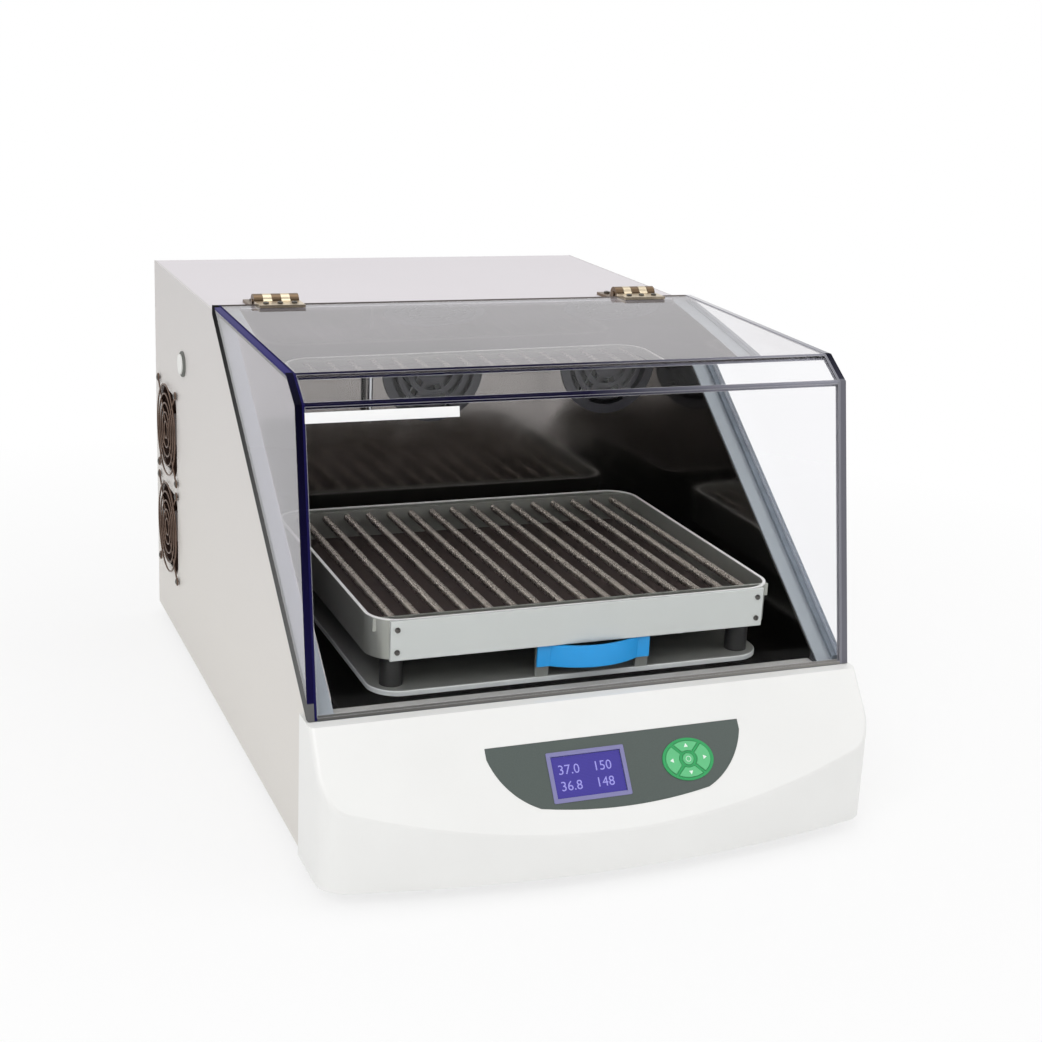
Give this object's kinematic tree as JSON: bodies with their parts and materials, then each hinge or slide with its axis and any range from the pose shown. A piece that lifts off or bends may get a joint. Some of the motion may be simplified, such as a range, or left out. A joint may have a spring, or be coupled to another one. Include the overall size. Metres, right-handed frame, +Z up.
{
  "type": "incubated benchtop shaker",
  "caption": "Benchtop incubator with a hinged clear hood over a heated chamber, where a spring flask rack orbits on an eccentric drive; bowed control fascia in front.",
  "frame": {"origin": "on the bench, below the middle of the instrument's bounding box", "axes": "+Z up, the control fascia faces -Y, +X to the right as seen from the front"},
  "size_m": [0.55, 0.8248, 0.4596],
  "materials": {
    "panel_paint": "light grey powder coat, fine texture",
    "foot_rubber": "matt black",
    "cover_paint": "off-white powder coat, satin",
    "chamber_steel": "polished sheet steel",
    "foam": "pale foam, rough",
    "lip_metal": "satin grey",
    "seal_rubber": "matt black",
    "probe_steel": "bright drawn steel",
    "clear_hood": "clear acrylic with a faint lavender tint, polished",
    "hinge_steel": "burnished brown-grey steel",
    "screw_steel": "plated steel",
    "fascia_plastic": "off-white moulded plastic, fine grain",
    "overlay_film": "grey-green printed film, satin",
    "bezel_plastic": "grey-lilac frame, satin",
    "display_glass": "blue-violet lit display, glossy",
    "board": "green circuit board",
    "keypad_green": "green, satin",
    "key_green": "light green soft keys, satin",
    "fan_black": "black moulded plastic",
    "guard_wire": "plated wire",
    "port_plastic": "white moulded plastic",
    "port_rubber": "black rubber",
    "inlet_plastic": "black moulded plastic",
    "rocker_plastic": "black, glossy",
    "motor_paint": "dark grey paint",
    "impeller_metal": "pressed sheet, satin",
    "heater_steel": "oxidised steel sheath",
    "pulley_metal": "turned",
    "cast_frame": "cast and machined",
    "bearing_steel": "ground steel",
    "belt_rubber": "black ribbed rubber",
    "shaft_steel": "turned steel",
    "counter_iron": "dark cast iron",
    "deck_metal": "dull anodised",
    "rack_metal": "grey anodised, satin",
    "rack_mat": "dark brown-black mat",
    "spring_steel": "drawn spring wire",
    "bar_metal": "bright satin",
    "handle_blue": "bright blue, satin gloss"
  },
  "bodies": {
    "housing": {"base_pan": "panel_paint", "feet": "foot_rubber", "left_side_panel": "panel_paint", "right_side_panel": "panel_paint", "top_cover": "cover_paint", "rear_panel": "panel_paint", "chamber_liner": "chamber_steel", "insulation": "foam", "lip_trim": "lip_metal", "hood_seals": "seal_rubber", "temperature_probe": "probe_steel", "front_fascia": "fascia_plastic", "control_overlay": "overlay_film", "lcd_bezel": "bezel_plastic", "lcd_module": "display_glass", "control_board": "board", "keypad_base": "keypad_green", "hinge_fixed_leaves": "hinge_steel", "housing_screws": "screw_steel", "cooling_fan_frames": "fan_black", "cooling_fan_guards": "guard_wire", "access_port_bush": "port_plastic", "power_inlet": "inlet_plastic", "motor": "motor_paint", "drive_frame": "cast_frame", "drive_bearings": "bearing_steel", "drive_belt": "belt_rubber", "heater": "heater_steel", "circulation_fan_guards": "chamber_steel", "circulation_fan_motors": "motor_paint"},
    "hood": {"hood_canopy": "clear_hood", "hood_left_side": "clear_hood", "hood_right_side": "clear_hood", "hinge_moving_leaves": "hinge_steel"},
    "crank": {"drive_crank": "shaft_steel", "drive_pulley": "pulley_metal", "counterweight": "counter_iron"},
    "platform": {"deck_plate": "deck_metal", "deck_hubs": "cast_frame", "rack_posts": "deck_metal", "rack_frame": "rack_metal", "rack_tray": "rack_mat", "rack_springs": "spring_steel", "front_bar": "bar_metal", "rack_screws": "screw_steel", "pull_handle": "handle_blue"},
    "left_idler": {"left_idler_crank": "shaft_steel"},
    "right_idler": {"right_idler_crank": "shaft_steel"},
    "motor_rotor": {"motor_pulley": "pulley_metal"},
    "upper_fan": {"upper_fan_wheel": "fan_black"},
    "lower_fan": {"lower_fan_wheel": "fan_black"},
    "left_circulation_fan": {"left_circulation_wheel": "impeller_metal"},
    "right_circulation_fan": {"right_circulation_wheel": "impeller_metal"},
    "up_button": {"key_up": "key_green"},
    "down_button": {"key_down": "key_green"},
    "left_button": {"key_left": "key_green"},
    "right_button": {"key_right": "key_green"},
    "centre_button": {"key_centre": "key_green"},
    "rocker": {"power_rocker": "rocker_plastic"},
    "port_plug": {"access_port_plug": "port_rubber"}
  },
  "joints": [
    {"name": "hood_hinge", "type": "hinge", "parent": "housing", "child": "hood", "pos_m": [0, 0.079, 0.4516], "axis": [-1, 0, 0], "range_deg": [0, 80]},
    {"name": "drive_spin", "type": "hinge", "parent": "housing", "child": "crank", "pos_m": [0, -0.16, 0.069], "axis": [0, 0, 1], "continuous": true},
    {"name": "platform_pivot", "type": "hinge", "parent": "crank", "child": "platform", "pos_m": [0, -0.1695, 0.145], "axis": [0, 0, 1], "continuous": true},
    {"name": "left_idler_spin", "type": "hinge", "parent": "housing", "child": "left_idler", "pos_m": [-0.11, -0.05, 0.1], "axis": [0, 0, 1], "continuous": true},
    {"name": "right_idler_spin", "type": "hinge", "parent": "housing", "child": "right_idler", "pos_m": [0.11, -0.05, 0.1], "axis": [0, 0, 1], "continuous": true},
    {"name": "motor_spin", "type": "hinge", "parent": "housing", "child": "motor_rotor", "pos_m": [0, 0.01, 0.069], "axis": [0, 0, 1], "continuous": true},
    {"name": "upper_fan_spin", "type": "hinge", "parent": "housing", "child": "upper_fan", "pos_m": [-0.2495, 0.333, 0.2545], "axis": [1, 0, 0], "continuous": true},
    {"name": "lower_fan_spin", "type": "hinge", "parent": "housing", "child": "lower_fan", "pos_m": [-0.2495, 0.333, 0.134], "axis": [1, 0, 0], "continuous": true},
    {"name": "left_circulation_spin", "type": "hinge", "parent": "housing", "child": "left_circulation_fan", "pos_m": [-0.025, 0.11, 0.37], "axis": [0, 1, 0], "continuous": true},
    {"name": "right_circulation_spin", "type": "hinge", "parent": "housing", "child": "right_circulation_fan", "pos_m": [0.185, 0.11, 0.37], "axis": [0, 1, 0], "continuous": true},
    {"name": "up_key_press", "type": "slide", "parent": "housing", "child": "up_button", "axis": [0, 0.8, -0.6], "range_m": [0, 0.0008], "stiffness_N_per_m": 600, "springref_m": -0.0003},
    {"name": "down_key_press", "type": "slide", "parent": "housing", "child": "down_button", "axis": [0, 0.8, -0.6], "range_m": [0, 0.0008], "stiffness_N_per_m": 600, "springref_m": -0.0003},
    {"name": "left_key_press", "type": "slide", "parent": "housing", "child": "left_button", "axis": [0, 0.8, -0.6], "range_m": [0, 0.0008], "stiffness_N_per_m": 600, "springref_m": -0.0003},
    {"name": "right_key_press", "type": "slide", "parent": "housing", "child": "right_button", "axis": [0, 0.8, -0.6], "range_m": [0, 0.0008], "stiffness_N_per_m": 600, "springref_m": -0.0003},
    {"name": "centre_key_press", "type": "slide", "parent": "housing", "child": "centre_button", "axis": [0, 0.8, -0.6], "range_m": [0, 0.0008], "stiffness_N_per_m": 600, "springref_m": -0.0003},
    {"name": "power_rocker_tilt", "type": "hinge", "parent": "housing", "child": "rocker", "pos_m": [-0.11, 0.408, 0.07], "axis": [1, 0, 0], "range_deg": [-8, 8]},
    {"name": "port_plug_pull", "type": "slide", "parent": "housing", "child": "port_plug", "axis": [-1, 0, 0], "range_m": [0, 0.02]}
  ],
  "couplings": [
    {"joint": "platform_pivot", "follows": "drive_spin", "ratio": -1},
    {"joint": "left_idler_spin", "follows": "drive_spin", "ratio": 1},
    {"joint": "right_idler_spin", "follows": "drive_spin", "ratio": 1},
    {"joint": "motor_spin", "follows": "drive_spin", "ratio": 3}
  ]
}
